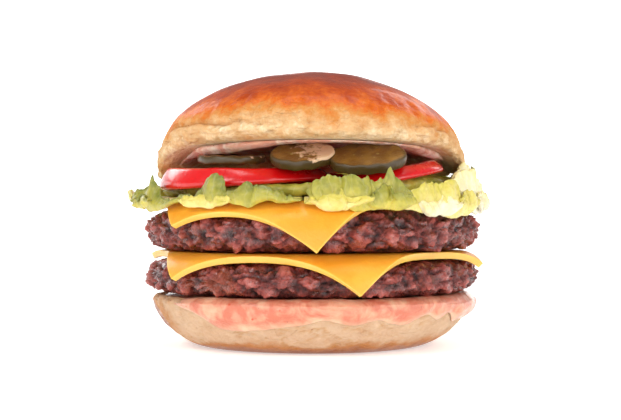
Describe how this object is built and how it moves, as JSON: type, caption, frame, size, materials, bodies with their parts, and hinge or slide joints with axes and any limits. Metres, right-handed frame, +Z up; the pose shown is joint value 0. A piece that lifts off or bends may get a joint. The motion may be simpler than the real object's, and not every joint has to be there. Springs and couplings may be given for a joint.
{
  "type": "double cheeseburger",
  "caption": "Burger in a domed bun with stacked patties, draped cheese, lettuce, tomato, pickles and sauce; stands on its flat heel.",
  "frame": {"origin": "middle of the heel's flat base", "axes": "+Z up through the stack, -Y the front, where the crown is propped open, +X to the right as seen from the front"},
  "size_m": [0.1214, 0.126, 0.0927],
  "materials": {
    "bun": "satin baked crust",
    "sauce": "glossy",
    "meat": "rough with moist highlights",
    "cheese": "satin",
    "lettuce": "satin",
    "rib": "satin",
    "tomato": "wet gloss",
    "pickle": "wet gloss"
  },
  "bodies": {
    "root": {"heel": "bun", "heel_sauce": "sauce", "patty_lower": "meat", "cheese_lower": "cheese", "patty_upper": "meat", "cheese_upper": "cheese", "lettuce_left_rib": "rib", "lettuce_left_curl": "lettuce", "lettuce_left_frill": "lettuce", "lettuce_front_fold": "lettuce", "lettuce_right_curl": "lettuce", "lettuce_right_rib": "rib", "lettuce_right_tip": "lettuce", "lettuce_inner_rib": "rib", "lettuce_back_right": "lettuce", "lettuce_back_middle": "lettuce", "lettuce_back_left": "lettuce", "tomato_left": "tomato", "tomato_right": "tomato", "tomato_back": "tomato", "pickle_left": "pickle", "pickle_middle": "pickle", "pickle_right": "pickle", "crown_sauce": "sauce", "crown": "bun"}
  },
  "joints": []
}
